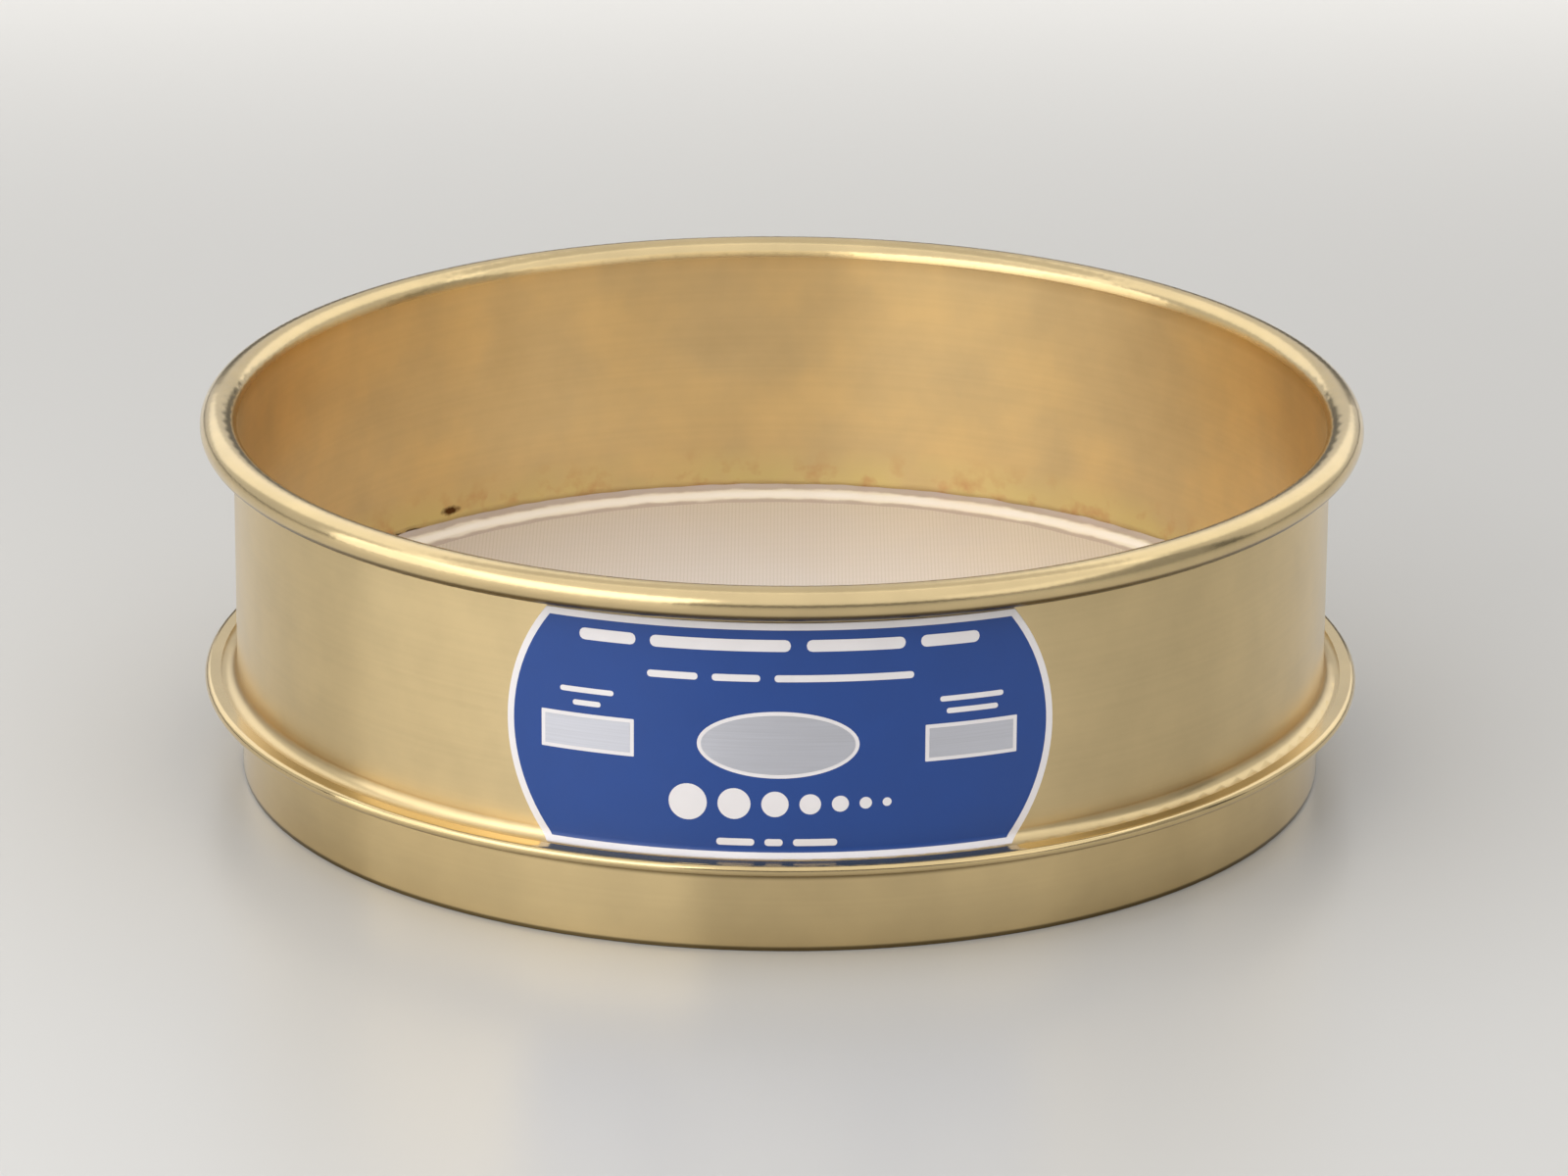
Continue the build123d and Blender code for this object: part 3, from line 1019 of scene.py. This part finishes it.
class SIEVE_OT_nameplate(bpy.types.Operator):
    """Print the nameplate: blue field, windows, bars and graded dots"""

    bl_idname = "sieve.nameplate"
    bl_label = "Print Nameplate"

    def execute(self, context):
        finish, sizes = context.scene.sieve_finish, context.scene.sieve_print
        white = baked_enamel("white_baked_enamel", finish.enamel_white, mean_roughness=0.38)
        blue = baked_enamel("blue_baked_enamel", finish.enamel_blue, mean_roughness=0.36)
        bare = brushed_aluminium(finish.aluminium)
        dress("nameplate", white)

        def lay(name, outline, level, material):
            wrapped_slab(
                name, outline, level * sizes.layer, sizes.layer, sizes.slice_width, material
            )

        lay("blue_field", field_outline(sizes.border), 0, blue)

        inset = sizes.outline
        for side, (place, size) in WINDOWS.items():
            centre, (width, tall) = metres(place), metres(size)
            line = rounded_bar(centre, width, tall, WINDOW_LINE_CORNER * MM)
            lay(f"{side}_window_line", line, 1, white)
            window = rounded_bar(centre, width - 2 * inset, tall - 2 * inset, WINDOW_CORNER * MM)
            lay(f"{side}_window", window, 2, bare)
        centre, (half_width, half_height) = metres(OVAL_PLACE), metres(OVAL_HALF_SIZE)
        lay("oval_line", oval(centre, half_width, half_height, OVAL_STEPS), 1, white)
        window = oval(centre, half_width - inset, half_height - inset, OVAL_STEPS)
        lay("oval_window", window, 2, bare)

        for row, (height, tall, ends) in BAR_ROWS.items():
            for number, (start, end) in enumerate(ends, 1):
                centre = metres(((start + end) / 2, height))
                corner = BAR_ROUNDING * tall * MM
                bar = rounded_bar(centre, (end - start) * MM, tall * MM, corner)
                lay(f"{row}_bar_{number}", bar, 1, white)

        arc = DOTS_LEFT
        for number, radius in enumerate(DOT_RADII, 1):
            centre = metres((arc + radius, DOTS_HEIGHT))
            lay(f"graded_dot_{number}", oval(centre, radius * MM, radius * MM, DOT_STEPS), 1, white)
            arc += 2 * radius + DOT_GAP
        return {"FINISHED"}


class SIEVE_OT_studio(bpy.types.Operator):
    """Set up the floor, the softboxes, the room and the camera"""

    bl_idname = "sieve.studio"
    bl_label = "Set Up Studio"

    def execute(self, context):
        studio = context.scene.sieve_studio
        add_floor(context.scene, studio)
        add_room(context.scene, studio)
        for name, (azimuth, elevation, wide, tall, setting) in SOFTBOXES.items():
            add_softbox(
                context.scene, name, azimuth, elevation, wide, tall, getattr(studio, setting)
            )
        add_floor_strip(context.scene, studio)
        add_camera(context.scene)
        context.scene.view_settings.view_transform = "Standard"
        return {"FINISHED"}


def add_floor(scene, studio):
    """A wide pale table top, satin enough to keep the shadow."""
    bm = bmesh.new()
    bmesh.ops.create_circle(bm, cap_ends=True, segments=FLOOR_STEPS, radius=FLOOR_RADIUS)
    mesh = bpy.data.meshes.new("studio_floor")
    bm.to_mesh(mesh)
    bm.free()
    floor = bpy.data.objects.new("studio_floor", mesh)
    scene.collection.objects.link(floor)
    material, tree = new_material("pale_laminate")
    shader = add_node(
        tree, "ShaderNodeBsdfPrincipled", {"Base Color": studio.floor, "Roughness": 0.3}
    ).outputs[0]
    add_node(tree, "ShaderNodeOutputMaterial", {0: shader})
    mesh.materials.append(material)


def add_room(scene, studio):
    """An even, dim room, so that the metal keeps dark lines between the lights."""
    world = bpy.data.worlds.new("studio_room")
    scene.world = world
    world.use_nodes = True
    tree = world.node_tree
    tree.nodes.clear()
    shader = add_node(
        tree,
        "ShaderNodeBackground",
        {"Color": linear(ROOM_COLOUR), "Strength": studio.room_level},
    ).outputs[0]
    add_node(tree, "ShaderNodeOutputWorld", {0: shader})


def add_area_light(scene, name, wide, tall, level):
    """A flat rectangular light of one radiance. Returns its object, not yet placed."""
    light = bpy.data.lights.new(name, "AREA")
    light.shape = "RECTANGLE"
    light.size, light.size_y = wide, tall
    light.energy = level * math.pi * wide * tall
    lamp = bpy.data.objects.new(name, light)
    scene.collection.objects.link(lamp)
    return lamp


def add_softbox(scene, name, azimuth, elevation, wide, tall, level):
    """A softbox aimed at the sieve: azimuth from the front, positive to the right, in degrees."""
    turn, rise = math.radians(azimuth), math.radians(elevation)
    away = Vector(
        (math.sin(turn) * math.cos(rise), -math.cos(turn) * math.cos(rise), math.sin(rise))
    )
    lamp = add_area_light(scene, name, wide, tall, level)
    lamp.location = Vector((0, 0, RIM_TOP / 2)) + away * SOFTBOX_DISTANCE
    lamp.rotation_mode = "QUATERNION"
    lamp.rotation_quaternion = (-away).to_track_quat("-Z", "Y")


def add_floor_strip(scene, studio):
    """A gridded strip behind the sieve that lights only the far floor."""
    lamp = add_area_light(scene, "floor_strip", *STRIP_SIZE, studio.strip_level)
    lamp.data.spread = math.radians(STRIP_SPREAD)
    lamp.location = STRIP_PLACE


def add_camera(scene):
    """A long lens, a little above the rim, with its aim near the sieve's middle."""
    data = bpy.data.cameras.new("studio_camera")
    data.sensor_width, data.sensor_fit = SENSOR_WIDTH, "HORIZONTAL"
    data.lens = LENS
    camera = bpy.data.objects.new("studio_camera", data)
    back, up = -math.cos(CAMERA_ELEVATION), math.sin(CAMERA_ELEVATION)
    camera.location = (0, CAMERA_DISTANCE * back, CAMERA_DISTANCE * up)
    camera.rotation_mode = "QUATERNION"
    level = (CAMERA_AIM - camera.location).to_track_quat("-Z", "Y")
    camera.rotation_quaternion = level @ Quaternion((0, 0, 1), CAMERA_ROLL)
    scene.collection.objects.link(camera)
    scene.camera = camera


class SIEVE_PT_panel(bpy.types.Panel):
    """Lists the sieve's steps and settings"""

    bl_idname = "SIEVE_PT_panel"
    bl_label = "Test Sieve"
    bl_space_type = "VIEW_3D"
    bl_region_type = "UI"
    bl_category = "Sieve"

    def draw(self, context):
        for step in STEPS:
            self.layout.operator(step.bl_idname)
        for owner, group in SETTINGS.items():
            box = self.layout.box()
            for name in group.__annotations__:
                box.prop(getattr(context.scene, owner), name)


STEPS = (SIEVE_OT_brass, SIEVE_OT_cloth, SIEVE_OT_solder, SIEVE_OT_nameplate, SIEVE_OT_studio)
SETTINGS = {
    "sieve_finish": SieveFinish,
    "sieve_print": SievePrint,
    "sieve_solder": SieveSolder,
    "sieve_studio": SieveStudio,
}


def register():
    """Registers the settings, the operators and the panel."""
    for owner, group in SETTINGS.items():
        bpy.utils.register_class(group)
        setattr(bpy.types.Scene, owner, bpy.props.PointerProperty(type=group))
    for kind in (*STEPS, SIEVE_PT_panel):
        bpy.utils.register_class(kind)


def unregister():
    """Takes back what register() added."""
    for kind in reversed((*STEPS, SIEVE_PT_panel)):
        bpy.utils.unregister_class(kind)
    for owner, group in SETTINGS.items():
        delattr(bpy.types.Scene, owner)
        bpy.utils.unregister_class(group)


def main():
    register()
    bpy.ops.sieve.studio()
    bpy.ops.sieve.brass()
    bpy.ops.sieve.cloth()
    bpy.ops.sieve.solder()
    bpy.ops.sieve.nameplate()


if __name__ == "__main__":
    main()
